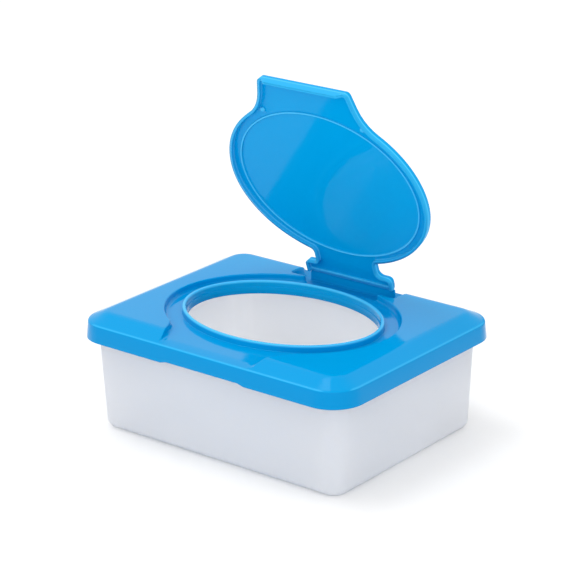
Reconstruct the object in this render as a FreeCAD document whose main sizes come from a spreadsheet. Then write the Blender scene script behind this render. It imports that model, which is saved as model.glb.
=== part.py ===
import FreeCAD, Part
import os
import Sketcher
from FreeCAD import Placement, Rotation, Vector

# A countertop wipes dispenser, in millimetres.
# A tapered see-through tub carries a push-on lid. The lid's top has an oval mouth with a
# raised ring, and a flip lid swings over it on a thin web moulded along its rear edge.
# X runs along the long front side, Y towards the hinge, and Z up. The origin is the centre
# of the tub's underside, where the dispenser stands.

SIZES = [
    # Tub
    ("tub_height", 60.2, "underside to the top of the rim"),
    ("tub_overhang", 7.0, "lid's outer face to the tub's wall, on each side"),
    ("tub_taper", 3.3, "how far each wall leans in from the rim to the base"),
    ("tub_wall", 1.5, "thickness of the walls and the floor"),
    ("tub_heel", 4.7, "rounding between the walls and the underside"),
    ("rim_thickness", 2.0, "thickness of the rim's flat flange"),
    ("rim_lip_depth", 4.0, "height of the rim's turned-down edge"),
    ("rim_lip_wall", 1.5, "thickness of the turned-down edge"),
    ("rim_clearance", 0.5, "gap between the rim and the narrowest part of the lid's skirt"),
    # Lid
    ("lid_length", 190.0, "overall length, along X"),
    ("lid_depth", 148.0, "overall depth, along Y"),
    ("lid_corner", 19.0, "corner radius in plan"),
    ("lid_wall", 1.8, "moulded wall thickness"),
    ("skirt_height", 10.1, "height of the upright skirt"),
    ("skirt_overlap", 4.9, "how far the skirt hangs below the top of the rim"),
    ("skirt_draft", 1.1, "how far the skirt leans in over its height"),
    ("skirt_edge", 1.5, "rounding along the top of the skirt"),
    ("crown_rise", 4.8, "height of the flat top above the skirt"),
    ("crown_slope", 21.6, "plan width of the slope at the front and sides"),
    ("crown_slope_rear", 14.0, "plan width of the slope behind the hinge"),
    ("crown_corner", 15.0, "corner radius of the flat top in plan"),
    ("pry_half", 26.3, "half width of the finger cut-out below the front skirt"),
    ("pry_rise", 1.1, "height of the finger cut-out"),
    ("pry_round", 0.8, "rounding in the upper corners of the finger cut-out"),
    ("plug_reach", 3.2, "how far the locating wall reaches into the tub"),
    ("plug_wall", 1.5, "thickness of the locating wall"),
    ("plug_clearance", 0.5, "gap between the locating wall and the tub's wall"),
    ("seat_wall", 1.4, "thickness of the rib that rests on the rim"),
    # Mouth, and the sunk bed that the flip lid lies in
    ("oval_front_margin", 13.8, "lid's front edge to the flip lid's oval"),
    ("oval_rear_margin", 24.9, "lid's rear edge to the flip lid's oval"),
    ("mouth_half_x", 59.4, "half length of the oval mouth"),
    ("mouth_margin_y", 10.25, "flip lid's oval to the mouth, front and rear"),
    ("ring_stand", 0.6, "how far the ring stands above the flat top"),
    ("ring_wall", 2.0, "thickness of the raised ring"),
    ("throat_drop", 2.0, "how far the ring hangs below the bed's upper face"),
    ("throat_step", 0.6, "how far the lower throat stands in from the ring"),
    ("throat_step_depth", 3.9, "ring's top down to the step in the throat"),
    ("bed_front_margin", 11.0, "lid's front edge to the sunk bed"),
    ("bed_rear_margin", 19.0, "lid's rear edge to the sunk bed"),
    ("bed_clearance", 2.5, "gap round the closed flip lid"),
    ("flare_front_half", 32.2, "half width of the bed where it opens to the front"),
    ("flare_root_half", 44.5, "half width of the flare inside the oval"),
    ("flare_root_inset", 16.0, "front of the bed back to the flare's inner end"),
    ("flare_bend", 60.0, "radius of the flare's hollow side"),
    ("cusp_round", 3.5, "rounding of the points between the oval and the flare"),
    ("ridge_round", 0.9, "rounding of the ridge's ends beside the tail"),
    ("ridge_gap_half", 26.5, "half width of the gap in the bed's wall at the tail"),
    ("bay_half", 38.0, "half width of the hinge bay at its front"),
    ("bay_half_rear", 43.5, "half width of the hinge bay at the rear edge"),
    ("bay_drop", 3.2, "hinge bay's floor below the bed's floor"),
    ("bay_clearance", 0.6, "bay's front face to the closed tail"),
    ("hinge_wall", 1.6, "thickness of the upright that carries the web"),
    ("hinge_wall_half", 31.0, "half width of that upright"),
    # Flip lid
    ("hinge_inset", 13.0, "lid's rear edge to the hinge line"),
    ("flip_half_x", 69.0, "half length of the flip lid's oval"),
    ("flip_wall", 1.8, "thickness of the plate and its flange"),
    ("flip_rise", 3.0, "outer face above the hinge line when closed"),
    ("flange_depth", 4.8, "outer face to the edge of the flange"),
    ("tab_inset", 0.7, "lid's front edge to the front of the finger tab"),
    ("tab_half", 31.0, "half width of the tab at its tip"),
    ("tab_root_half", 38.2, "half width of the tab inside the oval"),
    ("tab_root_inset", 15.5, "front of the oval back to the tab's inner end"),
    ("tab_blend", 26.0, "hollow radius from the tab to the oval"),
    ("tab_corner", 3.0, "rounding of the tab's corners"),
    ("lip_depth", 7.2, "outer face to the edge of the tab's finger lip"),
    ("lip_taper", 2.6, "how far each end of the lip slopes in"),
    ("neck_half", 21.5, "half width of the tail between the notches"),
    ("shoulder_half", 30.6, "half width of the tail at the hinge"),
    ("bar_trim", 1.5, "how much lower the tail's end wall is than the flange"),
    ("shoulder_length", 7.4, "hinge line to the front of the shoulders"),
    ("notch_round", 3.0, "rounding inside the tail's notches"),
    ("tail_chamfer", 2.5, "bevel that clears the hinge when open"),
    ("seal_clearance", 0.5, "gap between the sealing rib and the ring"),
    ("seal_wall", 1.2, "thickness of the sealing rib"),
    ("seal_depth", 2.4, "height of the sealing rib"),
    ("pip_half", 35.0, "centre line to each pip beside the tab"),
    ("pip_inset", 10.0, "front of the oval back to the pips"),
    ("pip_radius", 1.5, "radius of a pip"),
    ("pip_height", 1.5, "height of a pip"),
    # Hinge web
    ("web_reach", 0.6, "hinge line to each end of the web"),
    ("web_thickness", 0.4, "thickness of the web"),
    ("web_half", 29.0, "half width of the web"),
    ("rest_opening", 71.0, "degrees that the flip lid stands open at rest"),
    # Working values
    ("overrun", 5.0, "how far a cut runs past the face it leaves by"),
    ("nearness", 0.05, "how close an edge must lie to a level to be found there"),
]

doc = FreeCAD.newDocument("WipesDispenser")
sheet = doc.addObject("Spreadsheet::Sheet", "Sizes")
for row, (alias, number, meaning) in enumerate(SIZES, start=1):
    sheet.set(f"A{row}", meaning)
    sheet.set(f"B{row}", str(number))
    sheet.setAlias(f"B{row}", alias)
doc.recompute()

# Levels and places that several pieces share
SKIRT_BOTTOM = "(Sizes.tub_height - Sizes.skirt_overlap)"
SHOULDER = f"({SKIRT_BOTTOM} + Sizes.skirt_height)"
FLAT_TOP = f"({SHOULDER} + Sizes.crown_rise)"
SHOULDER_HALF_X = "(Sizes.lid_length / 2 - Sizes.skirt_draft)"
SHOULDER_HALF_Y = "(Sizes.lid_depth / 2 - Sizes.skirt_draft)"
TUB_HALF_X = "(Sizes.lid_length / 2 - Sizes.tub_overhang)"
TUB_HALF_Y = "(Sizes.lid_depth / 2 - Sizes.tub_overhang)"
TUB_CORNER = "(Sizes.lid_corner - Sizes.tub_overhang)"
FLANGE_WIDTH = "(Sizes.tub_overhang - Sizes.skirt_draft - Sizes.lid_wall - Sizes.rim_clearance)"
TUB_LEAN = "(Sizes.tub_taper / Sizes.tub_height)"
SKIRT_LEAN = "(Sizes.skirt_draft / Sizes.skirt_height)"
FLIP_HALF_Y = "((Sizes.lid_depth - Sizes.oval_front_margin - Sizes.oval_rear_margin) / 2)"
MOUTH_HALF_Y = f"({FLIP_HALF_Y} - Sizes.mouth_margin_y)"
OVAL_Y = "((Sizes.oval_front_margin - Sizes.oval_rear_margin) / 2)"
BED_HALF_Y = "((Sizes.lid_depth - Sizes.bed_front_margin - Sizes.bed_rear_margin) / 2)"
BED_Y = "((Sizes.bed_front_margin - Sizes.bed_rear_margin) / 2)"
HINGE_Y = "(Sizes.lid_depth / 2 - Sizes.hinge_inset)"
BAY_FLOOR = f"({SHOULDER} - Sizes.bay_drop)"
BAY_FRONT = f"({HINGE_Y} - Sizes.shoulder_length - Sizes.bay_clearance)"


def size(expression):
    """The number that an expression on the sheet's sizes gives."""
    return float(sheet.evalExpression(expression))


def new_body(name):
    return doc.addObject("PartDesign::Body", name)


def new_sketch(body, name, level, role="XY_Plane"):
    """A sketch on one of the body's own planes, moved along that plane's normal."""
    plane = [part for part in body.Origin.OriginFeatures if part.Role == role][0]
    sketch = body.newObject("Sketcher::SketchObject", name)
    sketch.AttachmentSupport = (plane, [""])
    sketch.MapMode = "FlatFace"
    sketch.setExpression("AttachmentOffset.Base.z", level)
    return sketch


def hold(sketch, name, expression, kind, *where):
    """Adds a named dimension that follows an expression on the sheet."""
    index = sketch.addConstraint(Sketcher.Constraint(kind, *where, size(expression)))
    sketch.renameConstraint(index, name)
    sketch.setExpression(f"Constraints.{name}", expression)


def place_point(sketch, name, geometry, position, x, y):
    hold(sketch, name + "_x", x, "DistanceX", -1, 1, geometry, position)
    hold(sketch, name + "_y", y, "DistanceY", -1, 1, geometry, position)


def rounded_rectangle(sketch, tag, half_x, front_y, rear_y, radius):
    """Four straight sides and four tangent corners, with equal ends left and right."""
    x, low, high, r = size(half_x), size(front_y), size(rear_y), size(radius)
    corners = [(x, low), (x, high), (-x, high), (-x, low)]
    centres = [(x - r, low + r), (x - r, high - r), (-x + r, high - r), (-x + r, low + r)]
    starts = [(-x + r, low), (x, low + r), (x - r, high), (-x, high - r)]
    ends = [(x - r, low), (x, high - r), (-x + r, high), (-x, low + r)]
    first = sketch.GeometryCount
    for start, end in zip(starts, ends):
        sketch.addGeometry(Part.LineSegment(Vector(*start, 0), Vector(*end, 0)), False)
    for centre, corner, start, end in zip(centres, corners, ends, starts[1:] + starts[:1]):
        towards = Vector(corner[0] - centre[0], corner[1] - centre[1], 0)
        middle = Vector(*centre, 0) + towards.normalize() * r
        sketch.addGeometry(Part.Arc(Vector(*start, 0), middle, Vector(*end, 0)), False)
    for side in range(4):
        line, arc, following = first + side, first + 4 + side, first + (side + 1) % 4
        arc_start = 1 if sketch.getPoint(arc, 1).distanceToPoint(Vector(*ends[side], 0)) < r / 2 else 2
        sketch.addConstraint(Sketcher.Constraint("Tangent", line, 2, arc, arc_start))
        sketch.addConstraint(Sketcher.Constraint("Tangent", following, 1, arc, 3 - arc_start))
        flat = "Horizontal" if side % 2 == 0 else "Vertical"
        sketch.addConstraint(Sketcher.Constraint(flat, line))
        if side:
            sketch.addConstraint(Sketcher.Constraint("Equal", first + 4, arc))
    hold(sketch, tag + "_radius", radius, "Radius", first + 4)
    hold(sketch, tag + "_front", front_y, "DistanceY", -1, 1, first, 1)
    hold(sketch, tag + "_right", half_x, "DistanceX", -1, 1, first + 1, 1)
    hold(sketch, tag + "_rear", rear_y, "DistanceY", -1, 1, first + 2, 1)
    hold(sketch, tag + "_left", f"-({half_x})", "DistanceX", -1, 1, first + 3, 1)


def even_rectangle(sketch, tag, half_x, half_y, radius):
    rounded_rectangle(sketch, tag, half_x, f"-({half_y})", half_y, radius)


def oval(sketch, tag, half_x, half_y, centre_y):
    """An ellipse centred on the Y axis, with its long axis along X or Y, whichever is longer."""
    wide = size(half_x) >= size(half_y)
    centre = Vector(0, size(centre_y), 0)
    ends = [(half_x, centre + Vector(size(half_x), 0, 0)), (half_y, centre + Vector(0, size(half_y), 0))]
    (long_half, long_end), (short_half, short_end) = ends if wide else reversed(ends)
    ellipse = sketch.addGeometry(Part.Ellipse(long_end, short_end, centre), False)
    sketch.exposeInternalGeometry(ellipse)
    long_axis, short_axis = ellipse + 1, ellipse + 2
    sketch.addConstraint(Sketcher.Constraint("Horizontal" if wide else "Vertical", long_axis))
    sketch.addConstraint(Sketcher.Constraint("PointOnObject", ellipse, 3, -2))
    hold(sketch, tag + "_long", f"2 * ({long_half})", "Distance", long_axis)
    hold(sketch, tag + "_short", f"2 * ({short_half})", "Distance", short_axis)
    hold(sketch, tag + "_centre", centre_y, "DistanceY", -1, 1, ellipse, 3)


def closed_outline(sketch, points, bends=None):
    """Straight sides through the points in turn; bends gives a side's number its hollow radius."""
    bends = bends or {}
    places = [Vector(size(x), size(y), 0) for x, y in points]
    ends = []
    for side, start in enumerate(places):
        end = places[(side + 1) % len(places)]
        if side in bends:
            radius = size(bends[side])
            half = (end - start) * 0.5
            inward = Vector(-half.y, half.x, 0).normalize()
            sag = radius - (radius ** 2 - half.Length ** 2) ** 0.5
            sketch.addGeometry(Part.Arc(start, start + half + inward * sag, end), False)
            hold(sketch, f"bend_{side}", bends[side], "Radius", side)
        else:
            sketch.addGeometry(Part.LineSegment(start, end), False)
        starts_here = sketch.getPoint(side, 1).distanceToPoint(start) < (end - start).Length / 2
        ends.append((1, 2) if starts_here else (2, 1))
    for side, point in enumerate(points):
        following = (side + 1) % len(points)
        join = (side, ends[side][1], following, ends[following][0])
        sketch.addConstraint(Sketcher.Constraint("Coincident", *join))
        place_point(sketch, f"point_{side}", side, ends[side][0], *point)


def even_outline(sketch, right_side, bends=None):
    """A closed outline, alike left and right, from its right-hand points front to rear."""
    points = right_side + [(f"-({x})", y) for x, y in reversed(right_side)]
    mirrored = {len(points) - 2 - side: radius for side, radius in (bends or {}).items()}
    closed_outline(sketch, points, {**(bends or {}), **mirrored})


def pad(body, name, sketch, length):
    feature = body.newObject("PartDesign::Pad", name)
    feature.Profile = sketch
    feature.setExpression("Length", length)
    return feature


def tapered_pad(body, name, sketch, length, lean):
    """A pad whose walls lean out by the given share of its height, or in where it is negative."""
    feature = pad(body, name, sketch, length)
    feature.setExpression("TaperAngle", f"atan({lean})")
    return feature


def pocket(body, name, sketch, length, along_normal=False, lean="0"):
    """Cuts the sketch's outline away on one side of its plane, and checks that something went."""
    doc.recompute()
    before = body.Shape.Volume
    feature = body.newObject("PartDesign::Pocket", name)
    feature.Profile = sketch
    feature.Reversed = along_normal
    feature.setExpression("Length", length)
    feature.setExpression("TaperAngle", f"atan({lean})")
    doc.recompute()
    if not body.Shape.Volume < before:
        raise RuntimeError(f"{name} cut nothing")
    return feature


def loft(body, name, lower, upper):
    feature = body.newObject("PartDesign::AdditiveLoft", name)
    feature.Profile = lower
    feature.Sections = [upper]
    feature.Ruled = True
    return feature


def round_edges(body, name, base, radius, wanted):
    """Rounds those edges of a feature that the test picks out."""
    doc.recompute()
    names = [f"Edge{i}" for i, edge in enumerate(base.Shape.Edges, start=1) if wanted(edge)]
    if not names:
        raise RuntimeError(f"{name} found no edge")
    feature = body.newObject("PartDesign::Fillet", name)
    feature.Base = (base, names)
    feature.Refine = False
    feature.setExpression("Radius", radius)
    doc.recompute()
    return feature


def is_upright(edge):
    box = edge.BoundBox
    return max(box.XLength, box.YLength) < size("Sizes.nearness") < box.ZLength


def lies_at(edge, level):
    box = edge.BoundBox
    near = size("Sizes.nearness")
    return abs(box.ZMin - level) < near and abs(box.ZMax - level) < near


def cut(name, base, tool):
    feature = doc.addObject("Part::Cut", name)
    feature.Base = base
    feature.Tool = tool
    return feature


def fuse(name, pieces):
    feature = doc.addObject("Part::MultiFuse", name)
    feature.Shapes = pieces
    return feature


# Tub: a thin tapered box with rounded corners and a flanged, turned-down rim

def make_tub():
    body = new_body("Tub")
    base = new_sketch(body, "TubBase", "0")
    at_rim = (TUB_HALF_X, TUB_HALF_Y, TUB_CORNER)
    even_rectangle(base, "base", *[f"{half} - Sizes.tub_taper" for half in at_rim])
    walls = tapered_pad(body, "TubWalls", base, "Sizes.tub_height", TUB_LEAN)
    round_edges(body, "TubHeel", walls, "Sizes.tub_heel", lambda edge: lies_at(edge, 0))
    inner = [f"{half} - Sizes.tub_wall" for half in at_rim]
    brim = new_sketch(body, "TubInside", "Sizes.tub_height")
    even_rectangle(brim, "inside", *inner)
    pocket(body, "TubHollow", brim, "Sizes.tub_height - Sizes.tub_wall", lean=f"-{TUB_LEAN}")

    outer = [f"{half} + {FLANGE_WIDTH}" for half in at_rim]
    flange = new_sketch(body, "RimFlangeOutline", "Sizes.tub_height - Sizes.rim_thickness")
    even_rectangle(flange, "outer", *outer)
    even_rectangle(flange, "inner", *inner)
    pad(body, "RimFlange", flange, "Sizes.rim_thickness")
    lip = new_sketch(body, "RimLipOutline", "Sizes.tub_height - Sizes.rim_lip_depth")
    even_rectangle(lip, "outer", *outer)
    even_rectangle(lip, "inner", *[f"{length} - Sizes.rim_lip_wall" for length in outer])
    pad(body, "RimLip", lip, "Sizes.rim_lip_depth - Sizes.rim_thickness / 2")
    doc.recompute()
    body.Label = "tub"
    return body


# Lid: a skirted tray lid, crowned on top, with a sunk bed, a ringed mouth and a hinge bay

def make_lid_form():
    """The lid's outside, as one solid."""
    body = new_body("LidForm")
    shoulder = new_sketch(body, "SkirtShoulder", SHOULDER)
    corner = "Sizes.lid_corner - Sizes.skirt_draft"
    even_rectangle(shoulder, "shoulder", SHOULDER_HALF_X, SHOULDER_HALF_Y, corner)
    skirt = tapered_pad(body, "Skirt", shoulder, "Sizes.skirt_height", SKIRT_LEAN)
    skirt.Reversed = True
    shoulder_level = size(SHOULDER)
    round_edges(body, "SkirtEdge", skirt, "Sizes.skirt_edge", lambda edge: lies_at(edge, shoulder_level))
    crown_base = new_sketch(body, "CrownBase", SHOULDER)
    inset = "(Sizes.skirt_draft + Sizes.skirt_edge)"
    at_lid = ("Sizes.lid_length / 2", "Sizes.lid_depth / 2", "Sizes.lid_corner")
    even_rectangle(crown_base, "shoulder", *[f"{half} - {inset}" for half in at_lid])
    flat_top = new_sketch(body, "FlatTop", FLAT_TOP)
    rounded_rectangle(
        flat_top, "top", f"{SHOULDER_HALF_X} - Sizes.crown_slope",
        f"-({SHOULDER_HALF_Y} - Sizes.crown_slope)", f"{SHOULDER_HALF_Y} - Sizes.crown_slope_rear",
        "Sizes.crown_corner")
    loft(body, "Crown", crown_base, flat_top)
    return body


def make_lid_space():
    """The hollow under the lid, one wall inside its outside."""
    body = new_body("LidSpace")
    below_hem = f"(Sizes.lid_wall - Sizes.overrun * {SKIRT_LEAN})"
    hem = new_sketch(body, "SpaceHem", f"{SKIRT_BOTTOM} - Sizes.overrun")
    at_lid = ("Sizes.lid_length / 2", "Sizes.lid_depth / 2", "Sizes.lid_corner")
    even_rectangle(hem, "hem", *[f"{half} - {below_hem}" for half in at_lid])
    rise = "(Sizes.skirt_height - Sizes.lid_wall + Sizes.overrun)"
    tapered_pad(body, "SkirtSpace", hem, rise, f"-{SKIRT_LEAN}")
    edge = new_sketch(body, "RoofEdge", f"{SHOULDER} - Sizes.lid_wall")
    at_edge = f"({below_hem} + {rise} * {SKIRT_LEAN})"
    even_rectangle(edge, "edge", *[f"{half} - {at_edge}" for half in at_lid])
    roof = new_sketch(body, "Roof", f"{FLAT_TOP} - Sizes.lid_wall")
    rounded_rectangle(
        roof, "roof", f"{SHOULDER_HALF_X} - Sizes.crown_slope",
        f"-({SHOULDER_HALF_Y} - Sizes.crown_slope)", f"{SHOULDER_HALF_Y} - Sizes.crown_slope_rear",
        "Sizes.crown_corner")
    loft(body, "CrownSpace", edge, roof)
    return body


def make_bed(name, grow, floor):
    """The sunk bed's outline as a solid above its floor, grown outwards by a wall or by none.

    The oval follows the flip lid, the flare opens to the front edge, and a gap at the
    rear lets the tail through.
    """
    body = new_body(name)
    height = f"{FLAT_TOP} - {floor} + Sizes.overrun"
    oval_sketch = new_sketch(body, name + "Oval", floor)
    oval(oval_sketch, "bed", f"Sizes.flip_half_x + Sizes.bed_clearance + {grow}",
         f"{BED_HALF_Y} + {grow}", BED_Y)
    pad(body, name + "OvalPad", oval_sketch, height)
    front_half = f"Sizes.flare_front_half + {grow}"
    root_half = f"Sizes.flare_root_half + {grow}"
    flare = new_sketch(body, name + "Flare", floor)
    even_outline(flare, [
        (front_half, "-(Sizes.lid_depth / 2 + Sizes.overrun)"),
        (front_half, f"-{SHOULDER_HALF_Y}"),
        (root_half, f"{BED_Y} - {BED_HALF_Y} + Sizes.flare_root_inset"),
    ], {1: f"Sizes.flare_bend - {grow}"})
    pad(body, name + "FlarePad", flare, height)
    gap = new_sketch(body, name + "Gap", floor)
    even_outline(gap, [
        (f"Sizes.ridge_gap_half + {grow}", f"{OVAL_Y} + {MOUTH_HALF_Y}"),
        (f"Sizes.ridge_gap_half + {grow}", HINGE_Y),
    ])
    block = pad(body, name + "GapPad", gap, height)
    middle_y, near = size(OVAL_Y), size("Sizes.nearness")
    flare_end = -size(SHOULDER_HALF_Y)
    bay_front = size(BAY_FRONT)

    def cusp(edge):
        return is_upright(edge) and flare_end + near < edge.CenterOfMass.y < middle_y

    def ridge_end(edge):
        return is_upright(edge) and middle_y < edge.CenterOfMass.y < bay_front

    block = round_edges(body, name + "Cusps", block, f"Sizes.cusp_round - {grow}", cusp)
    if size(f"Sizes.ridge_round - {grow}") > 0:
        round_edges(body, name + "RidgeEnds", block, f"Sizes.ridge_round - {grow}", ridge_end)
    return body


def make_bay(name, grow, floor):
    """The hinge bay's outline as a solid, open to the rear edge of the lid."""
    body = new_body(name)
    outline = new_sketch(body, name + "Outline", floor)
    even_outline(outline, [
        (f"Sizes.bay_half + {grow}", f"{BAY_FRONT} - {grow}"),
        (f"Sizes.bay_half_rear + {grow}", SHOULDER_HALF_Y),
        (f"Sizes.bay_half_rear + {grow}", "Sizes.lid_depth / 2 + Sizes.overrun"),
    ])
    pad(body, name + "Pad", outline, f"{FLAT_TOP} - {floor} + Sizes.overrun")
    doc.recompute()
    return body


def make_under_walls():
    """The locating wall that drops inside the tub, and the rib that rests on its rim."""
    body = new_body("UnderWalls")
    plug_inset = "(Sizes.tub_wall + Sizes.plug_clearance)"
    plug = [f"{half} - {plug_inset}" for half in (TUB_HALF_X, TUB_HALF_Y, TUB_CORNER)]
    plug_level = "(Sizes.tub_height - Sizes.plug_reach)"
    outline = new_sketch(body, "PlugOutline", plug_level)
    even_rectangle(outline, "outer", *plug)
    even_rectangle(outline, "inner", *[f"{length} - Sizes.plug_wall" for length in plug])
    pad(body, "PlugWall", outline, f"{SHOULDER} - {plug_level}")

    ribs = new_body("SeatRib")
    seat = [f"{half} + {FLANGE_WIDTH} / 2" for half in (TUB_HALF_X, TUB_HALF_Y, TUB_CORNER)]
    seat_outline = new_sketch(ribs, "SeatOutline", "Sizes.tub_height")
    even_rectangle(seat_outline, "outer", *seat)
    even_rectangle(seat_outline, "inner", *[f"{length} - Sizes.seat_wall" for length in seat])
    pad(ribs, "SeatRibPad", seat_outline, f"{SHOULDER} - Sizes.tub_height")
    doc.recompute()
    return body, ribs


def make_throat():
    """The raised ring, its stepped throat, and the oval cut that opens it."""
    ring = new_body("Ring")
    top = f"({FLAT_TOP} + Sizes.ring_stand)"
    bottom = f"({SHOULDER} - Sizes.throat_drop)"
    step_level = f"({top} - Sizes.throat_step_depth)"
    outline = new_sketch(ring, "RingOutline", bottom)
    ring_half = ("Sizes.mouth_half_x + Sizes.ring_wall", f"{MOUTH_HALF_Y} + Sizes.ring_wall")
    oval(outline, "ring", *ring_half, OVAL_Y)
    pad(ring, "RingPad", outline, f"{top} - {bottom}")
    opening = new_body("Opening")
    lower = new_sketch(opening, "LowerThroat", f"{bottom} - Sizes.overrun")
    lower_half = ("Sizes.mouth_half_x - Sizes.throat_step", f"{MOUTH_HALF_Y} - Sizes.throat_step")
    oval(lower, "lower", *lower_half, OVAL_Y)
    pad(opening, "LowerThroatPad", lower, f"{top} - {bottom} + Sizes.overrun")
    upper = new_sketch(opening, "UpperThroat", step_level)
    oval(upper, "upper", "Sizes.mouth_half_x", MOUTH_HALF_Y, OVAL_Y)
    pad(opening, "UpperThroatPad", upper, "Sizes.throat_step_depth + Sizes.overrun")
    doc.recompute()
    return ring, opening


def make_hinge_upright():
    """The upright across the hinge bay, whose top edge carries the web."""
    body = new_body("HingeUpright")
    outline = new_sketch(body, "UprightOutline", f"{BAY_FLOOR} - Sizes.lid_wall / 2")
    front = f"{HINGE_Y} + Sizes.web_reach"
    even_outline(outline, [
        ("Sizes.hinge_wall_half", front),
        ("Sizes.hinge_wall_half", f"{front} + Sizes.hinge_wall"),
    ])
    height = f"{FLAT_TOP} + Sizes.web_thickness / 2 - ({BAY_FLOOR} - Sizes.lid_wall / 2)"
    pad(body, "Upright", outline, height)
    doc.recompute()
    return body


def make_pry_notch():
    """The shallow cut below the front skirt, where a fingertip lifts the lid off the tub."""
    body = new_body("PryNotch")
    outline = new_sketch(body, "PryOutline", "Sizes.lid_depth / 2 - Sizes.overrun", "XZ_Plane")
    even_outline(outline, [
        ("Sizes.pry_half", f"{SKIRT_BOTTOM} - Sizes.overrun"),
        ("Sizes.pry_half", f"{SKIRT_BOTTOM} + Sizes.pry_rise"),
    ])
    block = pad(body, "PryPad", outline, "2 * Sizes.overrun")
    top = size(f"{SKIRT_BOTTOM} + Sizes.pry_rise")

    def upper_corner(edge):
        box = edge.BoundBox
        return lies_at(edge, top) and box.XLength < size("Sizes.nearness")

    round_edges(body, "PryRound", block, "Sizes.pry_round", upper_corner)
    return body


def make_lid():
    plug, seat = make_under_walls()
    ring, opening = make_throat()
    block_floor = f"({SHOULDER} - Sizes.lid_wall)"
    bay_block_floor = f"({BAY_FLOOR} - Sizes.lid_wall)"
    space = cut("SpaceRoundBed", make_lid_space(), make_bed("BedBlock", "Sizes.lid_wall", block_floor))
    space = cut("SpaceRoundBay", space, make_bay("BayBlock", "Sizes.lid_wall", bay_block_floor))
    shell = cut("LidShell", make_lid_form(), space)
    walled = fuse("WalledShell", [shell, plug, seat])
    sunk = cut("SunkShell", walled, make_bed("Bed", "0", SHOULDER))
    sunk = cut("BayedShell", sunk, make_bay("Bay", "0", BAY_FLOOR))
    ringed = fuse("RingedShell", [sunk, ring, make_hinge_upright()])
    opened = cut("OpenedShell", ringed, opening)
    lid = cut("LidCover", opened, make_pry_notch())
    lid.Label = "lid_cover"
    return lid


# Flip lid: an oval plate with a flange all round, a finger tab in front and a notched tail.
# It is drawn closed, with its hinge line on the X axis of its own frame.

FLIP_OVAL_Y = f"({OVAL_Y} - {HINGE_Y})"
FLANGE_LEVEL = "(Sizes.flip_rise - Sizes.flange_depth)"
INNER_FACE = "(Sizes.flip_rise - Sizes.flip_wall)"
TIP_Y = f"(Sizes.tab_inset - Sizes.lid_depth / 2 - {HINGE_Y})"
PIP_Y = f"({FLIP_OVAL_Y} - {FLIP_HALF_Y} + Sizes.pip_inset)"
SHOULDER_Y = "(-Sizes.shoulder_length)"
TAIL_Y = "(-Sizes.web_reach)"
TAB_ROOT_Y = f"({FLIP_OVAL_Y} - {FLIP_HALF_Y} + Sizes.tab_root_inset)"
TAIL_ROOT_Y = f"({FLIP_OVAL_Y} + {FLIP_HALF_Y} - Sizes.tab_root_inset)"


def flip_sketches(body, prefix, inset):
    """The oval, tab and tail outlines at the flange's edge, drawn in by a wall or by none."""
    plate = new_sketch(body, prefix + "Oval", FLANGE_LEVEL)
    oval(plate, "plate", f"Sizes.flip_half_x - {inset}", f"{FLIP_HALF_Y} - {inset}", FLIP_OVAL_Y)
    tab = new_sketch(body, prefix + "Tab", FLANGE_LEVEL)
    even_outline(tab, [
        (f"Sizes.tab_half - {inset}", f"{TIP_Y} + {inset}"),
        (f"Sizes.tab_root_half - {inset}", TAB_ROOT_Y),
    ])
    tail = new_sketch(body, prefix + "Tail", FLANGE_LEVEL)
    even_outline(tail, [
        (f"Sizes.neck_half - {inset}", TAIL_ROOT_Y),
        (f"Sizes.neck_half - {inset}", f"{SHOULDER_Y} + {inset}"),
        (f"Sizes.shoulder_half - {inset}", f"{SHOULDER_Y} + {inset}"),
        (f"Sizes.shoulder_half - {inset}", f"{TAIL_Y} - {inset}"),
    ])
    return plate, tab, tail


def round_flip_outline(body, prefix, base, inset, reaches):
    """Rounds the outline's upright edges; reaches picks the outer or the inner ones."""
    near = size("Sizes.nearness")
    tip, front = size(f"{TIP_Y} + {inset}") + near, size(TAB_ROOT_Y)
    rear, end = size(TAIL_ROOT_Y), size(f"{TAIL_Y} - {inset}") - near

    def upright_between(low, high):
        return lambda edge: is_upright(edge) and reaches(edge) and low < edge.CenterOfMass.y < high

    blend_edges = upright_between(tip, front)
    base = round_edges(body, prefix + "TabBlend", base, f"Sizes.tab_blend + {inset}", blend_edges)
    base = round_edges(body, prefix + "NotchRound", base, "Sizes.notch_round", upright_between(rear, end))
    if size(f"Sizes.tab_corner - {inset}") > 0:
        tip_edges = upright_between(tip - 2 * near, tip)
        base = round_edges(body, prefix + "TabCorner", base, f"Sizes.tab_corner - {inset}", tip_edges)
    return base


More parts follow.
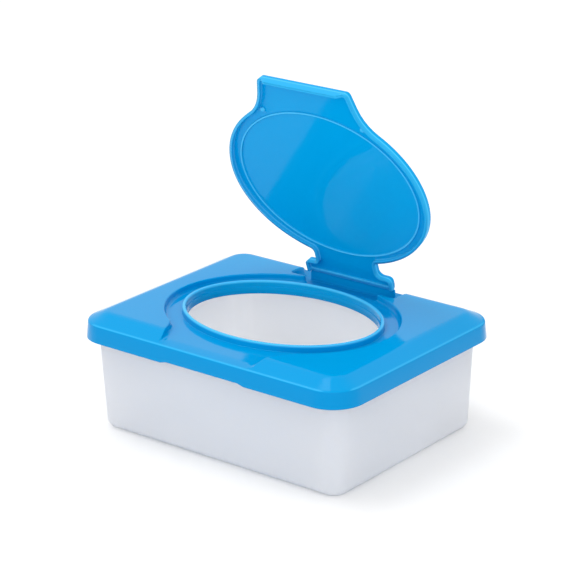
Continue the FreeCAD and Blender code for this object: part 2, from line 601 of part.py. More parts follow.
def make_flip_lid():
    body = new_body("FlipLid")
    outlines = flip_sketches(body, "Outer", "0")
    for name, sketch in zip(("Plate", "Tab", "Tail"), outlines):
        outline = pad(body, name, sketch, "Sizes.flange_depth")
    round_flip_outline(body, "Outer", outline, "0", lambda edge: True)
    inlines = flip_sketches(body, "Inner", "Sizes.flip_wall")
    for name, sketch in zip(("PlateHollow", "TabHollow", "TailHollow"), inlines):
        hollow = pocket(body, name, sketch, "Sizes.flange_depth - Sizes.flip_wall", along_normal=True)
    roof = size(INNER_FACE) + size("Sizes.nearness")
    round_flip_outline(body, "Inner", hollow, "Sizes.flip_wall", lambda edge: edge.BoundBox.ZMax < roof)

    bar = new_sketch(body, "BarTrim", FLANGE_LEVEL)
    bar_half = "Sizes.shoulder_half - Sizes.flip_wall"
    even_outline(bar, [
        (bar_half, f"{TAIL_Y} - 2 * Sizes.flip_wall"),
        (bar_half, f"{TAIL_Y} + Sizes.overrun"),
    ])
    pocket(body, "LowBar", bar, "Sizes.bar_trim", along_normal=True)

    lip_top = "Sizes.tab_half - Sizes.tab_corner"
    lip = new_sketch(body, "LipOutline", f"-({TIP_Y}) - Sizes.flip_wall", "XZ_Plane")
    even_outline(lip, [
        (f"{lip_top} - Sizes.lip_taper", "Sizes.flip_rise - Sizes.lip_depth"),
        (lip_top, FLANGE_LEVEL),
        (lip_top, INNER_FACE),
    ])
    pad(body, "FingerLip", lip, "Sizes.flip_wall")
    rib_level = f"({INNER_FACE} - Sizes.seal_depth)"
    rib = new_sketch(body, "SealOutline", rib_level)
    inside = "Sizes.ring_wall + Sizes.seal_clearance"
    oval(rib, "inner", f"Sizes.mouth_half_x + {inside}", f"{MOUTH_HALF_Y} + {inside}", FLIP_OVAL_Y)
    oval(rib, "outer", f"Sizes.mouth_half_x + {inside} + Sizes.seal_wall",
         f"{MOUTH_HALF_Y} + {inside} + Sizes.seal_wall", FLIP_OVAL_Y)
    pad(body, "SealRib", rib, "Sizes.seal_depth")
    pips = new_sketch(body, "PipOutline", f"{INNER_FACE} - Sizes.pip_height")
    for side, sign in (("right", ""), ("left", "-")):
        place = Vector(size(f"{sign}Sizes.pip_half"), size(PIP_Y), 0)
        pip = pips.addGeometry(Part.Circle(place, Vector(0, 0, 1), size("Sizes.pip_radius")), False)
        hold(pips, side + "_radius", "Sizes.pip_radius", "Radius", pip)
        place_point(pips, side, pip, 3, f"{sign}Sizes.pip_half", PIP_Y)
    pad(body, "Pips", pips, "Sizes.pip_height")
    doc.recompute()

    bevel = new_sketch(body, "BevelOutline", "-(Sizes.shoulder_half + Sizes.overrun)", "YZ_Plane")
    above = "Sizes.flip_rise + Sizes.overrun"
    behind = f"{TAIL_Y} + Sizes.overrun"
    closed_outline(bevel, [
        (f"{TAIL_Y} - Sizes.tail_chamfer - Sizes.overrun", above),
        (behind, "Sizes.flip_rise - Sizes.tail_chamfer - Sizes.overrun"),
        (behind, above),
    ])
    pocket(body, "TailBevel", bevel, "2 * (Sizes.shoulder_half + Sizes.overrun)", along_normal=True)
    body.Placement = Placement(Vector(0, 0, 0), Rotation(Vector(-1, 0, 0), size("Sizes.rest_opening")))
    body.setExpression("Placement.Base.y", HINGE_Y)
    body.setExpression("Placement.Base.z", FLAT_TOP)
    body.setExpression("Placement.Rotation.Angle", "Sizes.rest_opening")
    doc.recompute()
    body.Label = "flip_lid"
    return body


# Living hinge: the thin web between the upright and the tail, bent round by the opening

def make_living_hinge():
    body = new_body("LivingHinge")
    bend_radius = "(Sizes.web_reach / tan(Sizes.rest_opening / 2))"
    section = new_sketch(body, "WebSection", f"-({HINGE_Y} + Sizes.web_reach)", "XZ_Plane")
    section.setExpression("AttachmentOffset.Base.y", f"{FLAT_TOP} + {bend_radius}")
    even_outline(section, [
        ("Sizes.web_half", f"-{bend_radius} - Sizes.web_thickness / 2"),
        ("Sizes.web_half", f"-{bend_radius} + Sizes.web_thickness / 2"),
    ])
    web = body.newObject("PartDesign::Revolution", "Web")
    web.Profile = section
    web.ReferenceAxis = (section, ["H_Axis"])
    web.Reversed = True
    web.setExpression("Angle", "Sizes.rest_opening")
    doc.recompute()
    body.Label = "living_hinge"
    return body


pieces = [make_tub(), make_lid(), make_flip_lid(), make_living_hinge()]
doc.recompute()

failed = [thing.Name for thing in doc.Objects if "Invalid" in thing.State or "Error" in thing.State]
if failed:
    raise RuntimeError(f"these objects failed: {failed}")
for piece in pieces:
    if piece.Shape.isNull() or not piece.Shape.isValid():
        raise RuntimeError(f"{piece.Label} has no valid shape")

os.makedirs("parts", exist_ok=True)
for piece in pieces:
    piece.Shape.exportStep(f"parts/{piece.Label}.step")
    box = piece.Shape.BoundBox
    print(piece.Label, len(piece.Shape.Solids), "solid", round(piece.Shape.Volume), "mm3",
          [round(side, 1) for side in (box.XLength, box.YLength, box.ZLength, box.ZMin, box.ZMax)])
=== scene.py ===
import bpy
import math
import numpy as np
from mathutils import Matrix, Vector
from mathutils.geometry import delaunay_2d_cdt


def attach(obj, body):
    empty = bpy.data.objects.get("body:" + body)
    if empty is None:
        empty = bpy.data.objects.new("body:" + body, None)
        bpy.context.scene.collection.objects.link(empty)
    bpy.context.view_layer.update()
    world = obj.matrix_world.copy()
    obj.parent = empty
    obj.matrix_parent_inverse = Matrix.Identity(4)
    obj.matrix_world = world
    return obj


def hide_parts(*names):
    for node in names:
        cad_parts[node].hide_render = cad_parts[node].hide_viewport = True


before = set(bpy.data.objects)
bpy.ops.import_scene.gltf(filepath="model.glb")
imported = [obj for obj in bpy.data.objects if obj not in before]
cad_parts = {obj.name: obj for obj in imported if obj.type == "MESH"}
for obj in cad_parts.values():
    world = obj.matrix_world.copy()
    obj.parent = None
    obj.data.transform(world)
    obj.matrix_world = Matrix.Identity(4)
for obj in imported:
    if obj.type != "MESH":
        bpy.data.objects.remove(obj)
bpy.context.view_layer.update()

# ---------------------------------------------------------------- tub
# The tub is thin natural polypropylene, injection moulded, with a frosted skin that passes
# light but blurs what is behind it. The lid snaps over the flanged rim.


class Wire:
    """A shader socket that can take part in sums."""

    def __init__(self, paint, socket):
        self.paint, self.socket = paint, socket

    def math(self, operation, first, second):
        return self.paint.node("ShaderNodeMath", {"operation": operation},
                               {0: first, 1: second})["Value"]

    def __add__(self, other):
        return self.math("ADD", self, other)

    def __mul__(self, other):
        return self.math("MULTIPLY", self, other)

    def __sub__(self, other):
        return self.math("SUBTRACT", self, other)

    def __rsub__(self, other):
        return self.math("SUBTRACT", other, self)

    def between(self, low, high):
        """0 at low, 1 at high, eased."""
        return self.paint.node("ShaderNodeMapRange", {"interpolation_type": "SMOOTHSTEP"},
                               {"Value": self, "From Min": low, "From Max": high})["Result"]

    __radd__, __rmul__ = __add__, __mul__


class Paint:
    """The nodes of a material or a world, made one by one."""

    def __init__(self, owner):
        owner.use_nodes = True
        self.owner, self.tree = owner, owner.node_tree
        self.tree.nodes.clear()

    def node(self, kind, settings=None, inputs=None):
        """Makes a node from its type, settings and inputs, and returns its outputs by name."""
        node = self.tree.nodes.new(kind)
        for name, value in (settings or {}).items():
            setattr(node, name, value)
        for name, value in (inputs or {}).items():
            if isinstance(value, Wire):
                self.tree.links.new(value.socket, node.inputs[name])
            else:
                node.inputs[name].default_value = value
        return {socket.name: Wire(self, socket) for socket in node.outputs if socket.enabled}

    def noise(self, scale, detail=2.0):
        place = self.node("ShaderNodeTexCoord")["Object"]
        return self.node("ShaderNodeTexNoise", {},
                         {"Vector": place, "Scale": scale, "Detail": detail})["Fac"]

    def blend(self, factor, first, second):
        """Mixes two colours."""
        return self.node("ShaderNodeMix", {"data_type": "RGBA"},
                         {0: factor, 6: first, 7: second})["Result"]

    def mixed(self, factor, first, second):
        """Mixes two shaders."""
        return self.node("ShaderNodeMixShader", {}, {0: factor, 1: first, 2: second})["Shader"]

    def bump(self, height, distance, strength):
        return self.node("ShaderNodeBump", {}, {"Height": height, "Distance": distance,
                                                "Strength": strength})["Normal"]

    def finish(self, shader):
        self.node("ShaderNodeOutputMaterial", {}, {"Surface": shader})
        return self.owner


def rounded(half_x, half_y, corner, steps, along=1):
    """A rounded rectangle in plan, anticlockwise, with steps in a corner and spans along a side."""
    points = []
    for quarter, (sx, sy) in enumerate(((1, 1), (-1, 1), (-1, -1), (1, -1))):
        for step in range(steps + 1):
            turn = math.radians(90 * (quarter + step / steps))
            points.append((sx * (half_x - corner) + corner * math.cos(turn),
                           sy * (half_y - corner) + corner * math.sin(turn)))
    run = []
    for k, (here, there) in enumerate(zip(np.array(points), np.roll(points, -1, 0))):
        spans = along if k % (steps + 1) == steps else 1
        run += [here + (there - here) * span / spans for span in range(spans)]
    return np.array(run)


def softened(corners, steps):
    """A run through corners given as (distance, level, radius), with each corner rounded."""
    places = [np.array(corner[:2], float) for corner in corners]
    run = [places[0]]
    for before, here, after, (_, _, radius) in zip(places, places[1:], places[2:], corners[1:]):
        back, on = before - here, after - here
        lengths = np.linalg.norm(back), np.linalg.norm(on)
        back, on = back / lengths[0], on / lengths[1]
        half = math.acos(np.clip(back @ on, -1, 1)) / 2
        reach = min(radius / math.tan(half), 0.49 * min(lengths))
        centre = here + (back + on) / np.linalg.norm(back + on) * reach / math.cos(half)
        start, end = here + back * reach - centre, here + on * reach - centre
        first, last = math.atan2(start[1], start[0]), math.atan2(end[1], end[0])
        last = first + (last - first + math.pi) % (2 * math.pi) - math.pi
        for turn in np.linspace(first, last, steps + 1):
            run.append(centre + reach * math.tan(half) * np.array((math.cos(turn), math.sin(turn))))
    return np.array(run + [places[-1]])


def add_piece(name, points, faces, material, body, node, slot_name):
    """Makes a smooth piece from points in millimetres and hangs it on its body."""
    mesh = bpy.data.meshes.new(name)
    mesh.from_pydata([tuple(point) for point in np.asarray(points) * mm], [], faces)
    mesh.validate()
    mesh.shade_smooth()
    mesh.materials.append(material)
    piece = bpy.data.objects.new(name, mesh)
    bpy.context.scene.collection.objects.link(piece)
    even = piece.modifiers.new("flat_faces", "WEIGHTED_NORMAL")
    even.mode, even.weight = "FACE_AREA", 80
    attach(piece, body)
    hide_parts(node)


mm = 0.001
rim_x, rim_y, rim_corner, rim_level = 88.0, 67.0, 12.0, 60.2    # the wall's outside at the rim
taper, wall, flange, flange_wall = 3.3, 1.5, 3.6, 1.5
foot_width, foot_height, middle = 9.1, 0.4, -40
flange_top, flange_foot = rim_level - 2, rim_level - 4
# The cut through the wall, from under the middle, up the outside, over the flange and down inside:
# distance outside the rim, level and corner radius.
section = softened([
    (middle, foot_height, 0), (-taper - foot_width - 0.6, foot_height, 0.5),
    (-taper - foot_width, 0, 0.5), (-taper, 0, 4.7), (-0.13, flange_top, 0.6),
    (flange - flange_wall, flange_top, 0.3), (flange - flange_wall, flange_foot, 0.3),
    (flange, flange_foot, 0.3), (flange, rim_level, 0.8), (-wall, rim_level, 0.5),
    (-taper - wall + 0.1, wall, 3.2), (middle, wall, 0)], 5)
points, faces = [], []
for out, level in section:
    plan = rounded(rim_x + out, rim_y + out, max(rim_corner + out, 0.6), 12)
    points += [(x, y, level) for x, y in plan]
ring = len(plan)
for row in range(len(section) - 1):
    for i in range(ring):
        j = (i + 1) % ring
        faces.append((row * ring + i, row * ring + j, (row + 1) * ring + j, (row + 1) * ring + i))
faces.append(tuple(reversed(range(ring))))
faces.append(tuple(range((len(section) - 1) * ring, len(section) * ring)))

paint = Paint(bpy.data.materials.new("tub_frosted"))
cloud = paint.noise(22.0, 3.0)
grain = paint.noise(900.0, 2.0)
skin = paint.node("ShaderNodeBsdfPrincipled", {}, {
    "Base Color": paint.blend(cloud, (0.965, 0.97, 0.99, 1), (0.98, 0.985, 1.0, 1)),
    "Roughness": 0.30 + cloud * 0.12,
    "IOR": 1.4,
    "Transmission Weight": 0.5,
    "Normal": paint.bump(grain, 0.05 * mm, 0.5),
})["BSDF"]
glow = paint.node("ShaderNodeBsdfTranslucent", {}, {"Color": (0.985, 0.988, 1.0, 1)})["BSDF"]
tub_material = paint.finish(paint.mixed(0.37 + cloud * 0.1, skin, glow))
add_piece("tub_shell", points, faces, tub_material, "tub", "tub", "tub_plastic")

# ---------------------------------------------------------------- lid
# The lid is one moulding in bright blue polypropylene with a polished skin. It has a skirt over
# the tub's rim, a crowned top, a sunk bed for the flip lid, and a ringed mouth.


def ellipse(half_x, half_y, centre_y, steps=144):
    """An oval in plan, anticlockwise from its right-hand end."""
    turns = np.linspace(0, 2 * math.pi, steps, endpoint=False)
    return np.stack((half_x * np.cos(turns), centre_y + half_y * np.sin(turns)), 1)


def right_half(oval):
    """The right-hand half of an oval, from front to rear."""
    quarter = len(oval) // 4
    return np.concatenate((oval[-quarter:], oval[:quarter]))


def shifted(run, out, closed=True):
    """A run of points moved to its right, which is outwards if it is anticlockwise."""
    ahead, behind = np.roll(run, -1, 0), np.roll(run, 1, 0)
    if not closed:
        ahead[-1], behind[0] = run[-1], run[0]
    along = (ahead - behind) / np.linalg.norm(ahead - behind, axis=1)[:, None]
    return run + out * np.stack((along[:, 1], -along[:, 0]), 1)


def dense(start, end, bulge=0.0):
    """A straight run of close points, or an arc that bulges to its right at the middle."""
    spacing = 0.15
    start, end = np.array(start, float), np.array(end, float)
    length = np.linalg.norm(end - start)
    share = np.linspace(0, 1, max(int(length / spacing), 8))
    run = start + (end - start) * share[:, None]
    side = np.array((end[1] - start[1], start[0] - end[0])) / length
    return run + side * (bulge * 4 * share * (1 - share))[:, None]


def joined(first, second, radius):
    """Two runs that cross, trimmed there and joined by an arc of that radius."""
    reach, arc_step = 4, 0.12
    gaps = np.linalg.norm(first[:, None] - second[None], axis=2)
    i, j = np.unravel_index(gaps.argmin(), gaps.shape)
    before = first[i] - first[max(i - reach, 0)]
    after = second[min(j + reach, len(second) - 1)] - second[j]
    side = radius * -np.sign(before[0] * after[1] - before[1] * after[0])
    near_first, near_second = shifted(first, side, False), shifted(second, side, False)
    gaps = np.linalg.norm(near_first[:, None] - near_second[None], axis=2)
    i, j = np.unravel_index(gaps.argmin(), gaps.shape)
    centre = (near_first[i] + near_second[j]) / 2
    start, end = first[i] - centre, second[j] - centre
    begin, finish = math.atan2(start[1], start[0]), math.atan2(end[1], end[0])
    finish = begin + (finish - begin + math.pi) % (2 * math.pi) - math.pi
    turns = np.linspace(begin, finish, max(int(abs(finish - begin) / arc_step), 3))
    arc = centre + radius * np.stack((np.cos(turns), np.sin(turns)), 1)
    return np.concatenate((first[:i], arc[1:-1], second[j + 1:]))


def thinned(run, longest=2.6):
    """Keeps the points of a run that its bends and a longest span need."""
    bend = 0.11
    kept, turned = [run[0]], 0.0
    for before, here, after in zip(run, run[1:], run[2:]):
        a, b = here - before, after - here
        turned += abs(math.atan2(a[0] * b[1] - a[1] * b[0], a @ b))
        if turned > bend or np.linalg.norm(after - kept[-1]) > longest:
            kept.append(here)
            turned = 0.0
    return np.array(kept + [run[-1]])


def mirrored(run):
    """A right-hand run, front to rear, closed with its left-hand mirror image."""
    return np.concatenate((run, (run * (-1, 1))[::-1]))


def depth_in(points, outline):
    """Distance from points to a closed outline, positive inside."""
    nearest, inside = np.full(len(points), 1e9), np.zeros(len(points), bool)
    x, y = points.T
    for (ax, ay), (bx, by) in zip(outline, np.roll(outline, -1, 0)):
        dx, dy = bx - ax, by - ay
        share = np.clip(((x - ax) * dx + (y - ay) * dy) / max(dx * dx + dy * dy, 1e-12), 0, 1)
        nearest = np.minimum(nearest, np.hypot(x - ax - share * dx, y - ay - share * dy))
        if ay != by:
            inside ^= ((ay > y) != (by > y)) & (x < dx * (y - ay) / dy + ax)
    return np.where(inside, nearest, -nearest)


def sheet(border, hole, lines, level, grid=5.0):
    """A surface over the plan between a border and a hole, with points on the lines.

    A loose grid fills the flat parts, set off from the middle line and clear of what is drawn.
    """
    keep_off, border_room, line_room, set_off = 0.02, 1.5, grid * 0.35, grid * 0.37
    places, links = [], []

    def draw(run, closed):
        start = len(places)
        places.extend(map(tuple, run))
        links.extend((start + k, start + k + 1) for k in range(len(run) - 1))
        if closed:
            links.append((len(places) - 1, start))

    draw(border, True)
    if hole is not None:
        draw(hole, True)
    for line in lines:
        allowed = depth_in(line, border) > keep_off
        if hole is not None:
            allowed &= depth_in(line, hole) < -keep_off
        if allowed.all():
            draw(line, True)
            continue
        turn = int(np.argmin(allowed))
        line, allowed = np.roll(line, -turn, 0), np.roll(allowed, -turn)
        run = []
        for place, good in zip(line, allowed):
            if good:
                run.append(place)
            elif run:
                draw(run, False)
                run = []
        if run:
            draw(run, False)
    spans = [np.arange(low, high, grid) for low, high in zip(border.min(0), border.max(0))]
    mesh = np.stack(np.meshgrid(*spans), -1).reshape(-1, 2) + set_off
    clear = depth_in(mesh, border) > border_room
    drawn = np.array(places)
    for k in np.flatnonzero(clear):
        clear[k] = np.min(np.hypot(*(drawn - mesh[k]).T)) > line_room
    places.extend(map(tuple, mesh[clear]))
    flat, _, faces = delaunay_2d_cdt([Vector(place) for place in places], links, [], 0, 1e-5)[:3]
    flat = np.array([tuple(place) for place in flat])
    faces = np.array([face for face in faces if len(face) == 3])
    middles = flat[faces].mean(1)
    wanted = depth_in(middles, border) > 0
    if hole is not None:
        wanted &= depth_in(middles, hole) < 0
    return np.column_stack((flat, level(flat))), faces[wanted]


def shell(upper, lower):
    """One closed skin from an upper and a lower sheet that share their borders."""
    points = np.concatenate((upper[0], lower[0]))
    faces = np.concatenate((upper[1], lower[1][:, ::-1] + len(upper[0])))
    keys = [tuple(row) for row in np.round(points, 3)]
    first = {}
    index = np.array([first.setdefault(key, len(first)) for key in keys])
    kept = np.array(list(first))
    merged = [tuple(int(k) for k in index[face]) for face in faces]
    return kept, [face for face in merged if len(set(face)) == 3]


def lines_at(outline, distances):
    """The outline drawn again at each distance inside it."""
    return [shifted(outline, -distance) for distance in distances]


def step_lines(*runs):
    """The distances at which softened profiles bend."""
    return np.unique(np.round(np.concatenate([run[1:-1, 0] for run in runs]), 2))


half_length, half_depth, lid_corner, far_in = 95, 74, 19, 90
hem_level, skirt_level, flat_level, lid_wall = 55.3, 65.05, 70.2, 1.8
bed_floor, bay_floor, upright_top, throat_level = 66.2, 64.0, 70.4, 62.6
cut_half, cut_rise, cut_blend = 26.3, 1.1, 0.8          # the finger cut-out in the front hem
hem = rounded(half_length, half_depth, lid_corner, 14, 36)

# Each cut through a form of the lid: distance inside its outline, level and corner radius.
skirt_crown = softened([(0, hem_level, 0), (1.06, skirt_level, 1.7), (11.8, flat_level, 9),
                        (far_in, flat_level, 0)], 6)
bed_depth = flat_level - bed_floor
bed_fall = softened([(-5, bed_depth, 0), (0, bed_depth, 0.8), (0.3, 0, 2.2), (12, 0, 0)], 5)
bed_fall = bed_fall / (1, bed_depth)
ring_width, ring_height, ledge, throat_rise = 2.9, 4.1, 0.4, throat_level - bed_floor
ring_rise = softened([(-9, 0, 0), (0, 0, 0.4), (0.15, ring_height, 0.9), (2.1, ring_height, 0.9),
                      (2.3, ledge, 0.12), (2.8, ledge, 0.15), (ring_width, throat_rise, 0)], 5)
upright_thick, upright_height = 1.6, upright_top - bay_floor
upright_rise = softened([(-3, 0, 0), (0, 0, 0.4), (0.1, upright_height, 0.25),
                         (upright_thick / 2, upright_height, 0)], 2)

# The bed runs out of the front edge in a flare, and opens through a gap into the hinge's bay, which
# runs out of the rear edge.
front_out, rear_out = -half_depth - 5, half_depth + 5
bed_half_x, bed_half_y, bed_y, gap_half = 71.2, 58, -3.4, 26.5
flare_half, flare_end, flare_in = 32.2, -72.9, (44.5, -47)
bed = dense((flare_half, front_out), (flare_half, flare_end))
bed = joined(bed, dense((flare_half, flare_end), flare_in, bulge=-1.73), 6.0)
bed = joined(bed, right_half(ellipse(bed_half_x, bed_half_y, bed_y, 1800)), 3.5)
bed = mirrored(thinned(joined(bed, dense((gap_half, 40), (gap_half, 61)), 0.9)))
bay_front, bay_half, bay_bend, bay_rear = 51.8, 37.4, 64.5, (46.5, 76.5)
bay = dense((0, bay_front), (bay_half, bay_front))
bay = joined(bay, dense((bay_half, bay_front), (bay_half, bay_bend)), 2.0)
bay = joined(bay, dense((bay_half, bay_bend), bay_rear), 1.5)
bay = mirrored(thinned(np.concatenate((bay, dense(bay_rear, (bay_rear[0], rear_out))))))
ring_half_x, ring_half_y, ring_y = 62.4, 46.8, -3
mouth_ring = ellipse(ring_half_x, ring_half_y, ring_y)
mouth_edge = shifted(mouth_ring, -ring_width)
upright_half, upright_y = 30.4, 62.4
upright = rounded(upright_half, upright_thick / 2, 0.5, 3, 14) + (0, upright_y)


def notched(points, level):
    """Lifts the front hem over the finger cut-out."""
    x, y = np.abs(points[:, 0]), points[:, 1]
    cut = np.clip((cut_half + cut_blend / 2 - x) / cut_blend, 0, 1) * (y < 0)
    return np.maximum(level, hem_level + cut_rise * cut)


def sunk(level, floor, fall, depth):
    """The level with a floor sunk in it. The fall gives the share that is left at each depth."""
    return floor + (level - floor) * np.interp(depth, *fall.T)


def lid_top(points):
    """The lid's upper skin: the crown, less the bed and the bay, with the ring and the upright."""
    inset = depth_in(points, hem)
    crown = np.interp(inset, *skirt_crown.T)
    level = sunk(crown, np.minimum(crown, bed_floor), bed_fall, depth_in(points, bed))
    level = sunk(level, np.minimum(crown, bay_floor), bed_fall, depth_in(points, bay))
    level = level + np.interp(depth_in(points, mouth_ring), *ring_rise.T)
    level = level + np.interp(depth_in(points, upright), *upright_rise.T)
    return notched(points, level)


# Under the roof hang a stop that rests on the tub's rim and a deeper wall that plugs its mouth.
roof_level = flat_level - lid_wall
under_roof = softened([(0, hem_level, 0), (lid_wall, hem_level, 0.3), (2.7, skirt_level - 1.75, 0.8),
                       (12.4, roof_level, 7), (far_in, roof_level, 0)], 4)
throat_edge = (-0.05, 0.1)
stop_level, plug_level, clear = rim_level, 57.0, 90
walls_under = np.array([
    (0, clear), (5.1, clear), (5.2, stop_level), (6.6, stop_level), (6.7, clear),
    (8.9, clear), (9.0, plug_level), (10.5, plug_level), (10.6, clear), (far_in, clear)])


def lid_under(points):
    """The lid's lower skin, one wall under the upper one, with what hangs from the roof."""
    inset = depth_in(points, hem)
    roof = np.interp(inset, *under_roof.T)
    floor = np.minimum(roof, bed_floor - lid_wall)
    level = sunk(roof, floor, bed_fall, depth_in(points, bed) + lid_wall)
    floor = np.minimum(roof, bay_floor - lid_wall)
    level = sunk(level, floor, bed_fall, depth_in(points, bay) + lid_wall)
    throat = np.interp(depth_in(points, mouth_ring), throat_edge, (0, 1))
    level = level + (throat_level - level) * throat
    return notched(points, np.minimum(level, np.interp(inset, *walls_under.T)))


fall = step_lines(bed_fall)
bends_above = (lines_at(hem, step_lines(skirt_crown)) + lines_at(bed, fall) + lines_at(bay, fall)
               + lines_at(mouth_ring, step_lines(ring_rise))
               + lines_at(upright, step_lines(upright_rise)))
fall = fall - lid_wall
bends_below = (lines_at(hem, np.concatenate((step_lines(under_roof), walls_under[1:-1, 0])))
               + lines_at(bed, fall) + lines_at(bay, fall) + lines_at(mouth_ring, throat_edge))
upper = sheet(hem, mouth_edge, bends_above, lid_top)
lower = sheet(hem, mouth_edge, bends_below, lid_under)


def blue_plastic(name, deep, light, edge_highlight):
    """Polished blue plastic between two tones, with painted shade on the skirt and a painted
    highlight, paler by a share, along its edges.
    """
    paint = Paint(bpy.data.materials.new(name))
    place = paint.node("ShaderNodeSeparateXYZ", {}, {
        "Vector": paint.node("ShaderNodeTexCoord")["Object"]})
    tone = paint.noise(14.0, 3.0)
    ripple = paint.noise(38.0, 2.0)
    peel = paint.noise(1400.0, 1.0)
    blue = paint.blend(tone, (0.0, *deep, 1), (0.0, *light, 1))
    # Painted shade: the skirt's walls get less light than the top, so they are painted a darker
    # blue.
    skirt_shade = place["Z"].between(65.1 * mm, 64.3 * mm)       # the skirt, darkened by painted shade on its walls
    blue = paint.blend(skirt_shade, blue, (0.0, deep[0] * 0.88, deep[1] * 0.92, 1))
    low = place["Z"].between(63.7 * mm, 63.9 * mm) * place["Z"].between(66.2 * mm, 65.5 * mm)
    matt = place["Y"].between(49 * mm, 50 * mm) * low       # the bay's floor, which isn't polished
    # Painted highlight: a paler blue laid along the edges where light would catch them.
    highlight_blue = (0.06, 0.50, 0.85, 1)
    return paint.finish(paint.node("ShaderNodeBsdfPrincipled", {}, {
        "Base Color": paint.blend(edge_highlight(place["X"], place["Y"], place["Z"]), blue, highlight_blue),
        "Roughness": 0.06 + tone * 0.04 + matt * 0.45,
        "IOR": 1.25,
        "Specular Tint": (0.5, 0.85, 1.0, 1),
        "Normal": paint.bump(ripple * 0.9 + peel * 0.02, 0.2 * mm, 0.5),
    })["BSDF"])


def ring_highlight(x, y, z):
    """Where a highlight is painted: the ring's crest, by an oval measure that is 1 at its foot, and
    the skirt's upper edge.
    """
    across = x * (1 / (ring_half_x * mm))
    along = (y - ring_y * mm) * (1 / (ring_half_y * mm))
    crest = (across * across + along * along).between(1.03, 1.005) * z.between(68.6 * mm, 70.0 * mm)
    outer = ((x * x).between((91.8 * mm) ** 2, (92.8 * mm) ** 2)
             + (y * y).between((71.2 * mm) ** 2, (72.2 * mm) ** 2))
    return crest + z.between(64.6 * mm, 65.0 * mm) * z.between(65.7 * mm, 65.2 * mm) * outer * 0.5


lid_material = blue_plastic("blue_plastic", (0.290, 0.635), (0.310, 0.665), ring_highlight)
add_piece("lid_shell", *shell(upper, lower), lid_material, "lid", "lid_cover", "lid_plastic")

# ---------------------------------------------------------------- flip lid
# The flip lid is moulded with the lid in the same shot. A flange stiffens its edge, a rib seals
# against the mouth's ring, and a lip in front takes a fingertip.

hinge_y, hinge_z, opening = 61.0, 70.2, math.radians(71)
tip, oval_y, neck_y, bevel_y, foot_y = -134.3, -66.55, -8.7, -3.1, -0.6
tab_half, neck_half, foot_half, tab_in = 31, 21.5, 30.6, (38.2, -105.7)
plate_half_x, plate_half_y, rear_share = 69, 54.65, 0.93
plate = right_half(ellipse(plate_half_x, plate_half_y, oval_y, 1800))
rear = plate[:, 1] > oval_y
plate[rear, 1] = oval_y + (plate[rear, 1] - oval_y) * rear_share        # flatter towards the hinge
side = joined(dense((0, tip), (tab_half, tip)), dense((tab_half, tip), tab_in), 3.0)
side = joined(side, plate, 26.0)
side = joined(side, dense((neck_half, -24), (neck_half, neck_y)), 3.0)
side = joined(side, dense((neck_half, neck_y), (foot_half, neck_y)), 3.0)
side = joined(side, dense((foot_half, neck_y), (foot_half, foot_y)), 3.0)
side = joined(side, dense((foot_half, foot_y), (0, foot_y)), 0.3)
outline = mirrored(thinned(side, 1.4))
outline = outline[np.linalg.norm(outline - np.roll(outline, 1, 0), axis=1) > 0.02]
seal_half_x, seal_half_y, seal_y = 62.7, 47.9, -66.8
seal = ellipse(seal_half_x, seal_half_y, seal_y)
pip_centres, pip_radii, pip_height = [(35, -111.2), (-35, -111.2)], (1.0, 1.35, 1.5), 1.5

# Each cut through a form of the flip lid, as it lies closed: distance inside its outline, level
# above the hinge and corner radius.
edge_low, top_level, under_level, seal_height = -1.8, 3.0, 1.2, 1.0
edge_drop = under_level - edge_low
edge_rise = softened([(0, edge_low, 0), (0.12, top_level, 1.1), (40, top_level, 0)], 5)
flange_fall = softened([(-1, edge_drop, 0), (1.75, edge_drop, 0.25), (1.9, 0, 0.6), (40, 0, 0)], 3)
flange_fall = flange_fall / (1, edge_drop)
seal_drop = softened([(-3, 0, 0), (0, 0, 0.3), (0.1, seal_height, 0.4), (1.1, seal_height, 0.4),
                      (1.2, 0, 0.3), (4, 0, 0)], 3)
lip_half, lip_drop, lip_blend = 28.0, 2.4, 2.6
arch_half, arch_rise, arch_blend = 28.8, 1.5, 0.8
on_edge = 0.005


def edge_level(points):
    """The flange's edge, which drops at the finger lip and arches over the hinge's web."""
    x, y = np.abs(points[:, 0]), points[:, 1]
    lip = np.clip((lip_half - x) / lip_blend, 0, 1) * (y < tip + 2.2)
    arch = np.clip((arch_half - x) / arch_blend, 0, 1) * (y > bevel_y - 0.1)
    return edge_low - lip_drop * lip + arch_rise * arch


def flip_top(points):
    """The flip lid's upper skin, bevelled at its foot."""
    inset = depth_in(points, outline)
    bevel = top_level - np.maximum(points[:, 1] - bevel_y, 0)
    level = np.minimum(np.interp(inset, *edge_rise.T), bevel)
    return np.where(inset < on_edge, edge_level(points), level)


def flip_under(points):
    """The flip lid's lower skin, with the flange, the rib and the pips."""
    inset = depth_in(points, outline)
    level = under_level + (edge_level(points) - under_level) * np.interp(inset, *flange_fall.T)
    level = level - np.interp(depth_in(points, seal), *seal_drop.T)
    for centre in pip_centres:
        away = np.hypot(*(points - centre).T)
        level = level - pip_height * np.interp(away, (0, *pip_radii), (1, 0.93, 0.65, 0))
    return level


tip_lines = [rounded(lip_half - back, 4, 0.5, 2, 10) + (0, tip) for back in (lip_blend, 0)]
pip_lines = [ellipse(r, r, 0, 20) + centre for centre in pip_centres for r in pip_radii]
bevel_line = [rounded(34, foot_y - bevel_y, 0.5, 2, 10) + (0, foot_y)]
bends_above = lines_at(outline, step_lines(edge_rise)) + bevel_line + tip_lines
bends_below = (lines_at(outline, step_lines(flange_fall)) + lines_at(seal, step_lines(seal_drop))
               + pip_lines + tip_lines)
points, faces = shell(sheet(outline, None, bends_above, flip_top, 8.0),
                      sheet(outline, None, bends_below, flip_under, 8.0))
# The lid is drawn as it lies closed, and turned up about its hinge to stand open.
y, z = points[:, 1], points[:, 2]
points = np.column_stack((points[:, 0], hinge_y + y * math.cos(opening) + z * math.sin(opening),
                          hinge_z - y * math.sin(opening) + z * math.cos(opening)))


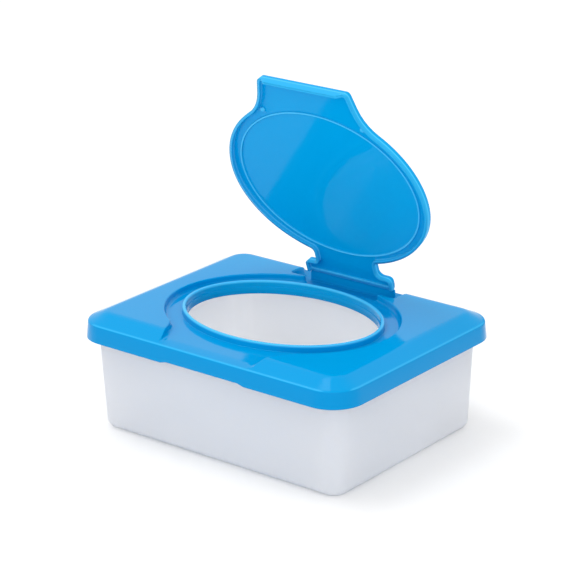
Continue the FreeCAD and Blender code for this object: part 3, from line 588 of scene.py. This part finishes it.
def rim_highlight(x, y, z):
    """Where a highlight is painted: the edges of the flange, lip and rib, by their height in the
    closed lid's own frame.
    """
    height = (y - hinge_y * mm) * math.sin(opening) + (z - hinge_z * mm) * math.cos(opening)
    return height.between(0.9 * mm, 0.2 * mm) * (0.35 + height.between(-0.6 * mm, 0.0) * 0.65)


# Painted light: the flip lid is the lid's own plastic, painted a lighter blue for the light that
# falls less on its face.
flip_lit_material = blue_plastic("flip_blue_plastic_lit", (0.322, 0.690), (0.342, 0.720), rim_highlight)
add_piece("flip_shell", points, faces, flip_lit_material, "flip", "flip_lid", "lid_plastic")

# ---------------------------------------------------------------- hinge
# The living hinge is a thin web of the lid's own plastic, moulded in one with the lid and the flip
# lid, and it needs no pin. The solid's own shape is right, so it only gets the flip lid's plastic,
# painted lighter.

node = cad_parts["living_hinge"]
node.data.materials.clear()
node.data.materials.append(flip_lit_material)

# ---------------------------------------------------------------- studio
# A white table under a white sky. One wide soft lamp hangs overhead, and one stands in front on
# the right, beside the camera, for the sheen in the open flip lid.

floor = bpy.data.meshes.new("studio_floor")
reach = 3.0
floor.from_pydata([(-reach, -reach, 0), (reach, -reach, 0), (reach, reach, 0), (-reach, reach, 0)],
                  [], [(0, 1, 2, 3)])
paint = Paint(bpy.data.materials.new("floor_white"))
speckle = paint.noise(60.0)
floor.materials.append(paint.finish(paint.node("ShaderNodeBsdfDiffuse", {}, {
    "Color": paint.blend(speckle, (0.93, 0.93, 0.93, 1), (0.95, 0.95, 0.95, 1))})["BSDF"]))
ground = bpy.data.objects.new("studio_floor", floor)
ground.location.z = -0.2 * mm
bpy.context.scene.collection.objects.link(ground)


def area_light(name, place, aim, width, height, power):
    lamp = bpy.data.lights.new(name, "AREA")
    lamp.shape = "RECTANGLE"
    lamp.size, lamp.size_y, lamp.energy = width, height, power
    holder = bpy.data.objects.new(name, lamp)
    holder.location = place
    holder.rotation_mode = "QUATERNION"
    holder.rotation_quaternion = (Vector(aim) - Vector(place)).to_track_quat("-Z", "Y")
    bpy.context.scene.collection.objects.link(holder)


area_light("front", (0.75, -1.30, 0.58), (0, 0, 0.08), 1.4, 0.9, 5)
area_light("top", (-0.5, -0.2, 1.5), (0, 0, 0.05), 0.8, 0.8, 6)

world = bpy.data.worlds.new("studio")
bpy.context.scene.world = world
sky = Paint(world)
white = sky.node("ShaderNodeBackground", {}, {"Color": (1, 1, 1, 1), "Strength": 1.0})["Background"]
sky.node("ShaderNodeOutputWorld", {}, {"Surface": white})
bpy.context.scene.view_settings.view_transform = "Standard"

turn, rise, roll = math.radians(38.79), math.radians(20.15), math.radians(-0.78)
back = Vector((math.sin(turn) * math.cos(rise), -math.cos(turn) * math.cos(rise), math.sin(rise)))
right = (-back).cross(Vector((0, 0, 1))).normalized()
up = right.cross(-back)
rolled_right = math.cos(roll) * right + math.sin(roll) * up
rolled_up = -math.sin(roll) * right + math.cos(roll) * up
lens = bpy.data.cameras.new("camera")
lens.lens, lens.sensor_width = 156.38, 36.0
camera = bpy.data.objects.new("camera", lens)
target, distance = Vector((0.82, -0.01, 84.56)) * mm, 1.3926
camera.matrix_world = Matrix.Translation(target + back * distance) @ Matrix(
    (rolled_right, rolled_up, back)).transposed().to_4x4()
bpy.context.scene.collection.objects.link(camera)
bpy.context.scene.camera = camera
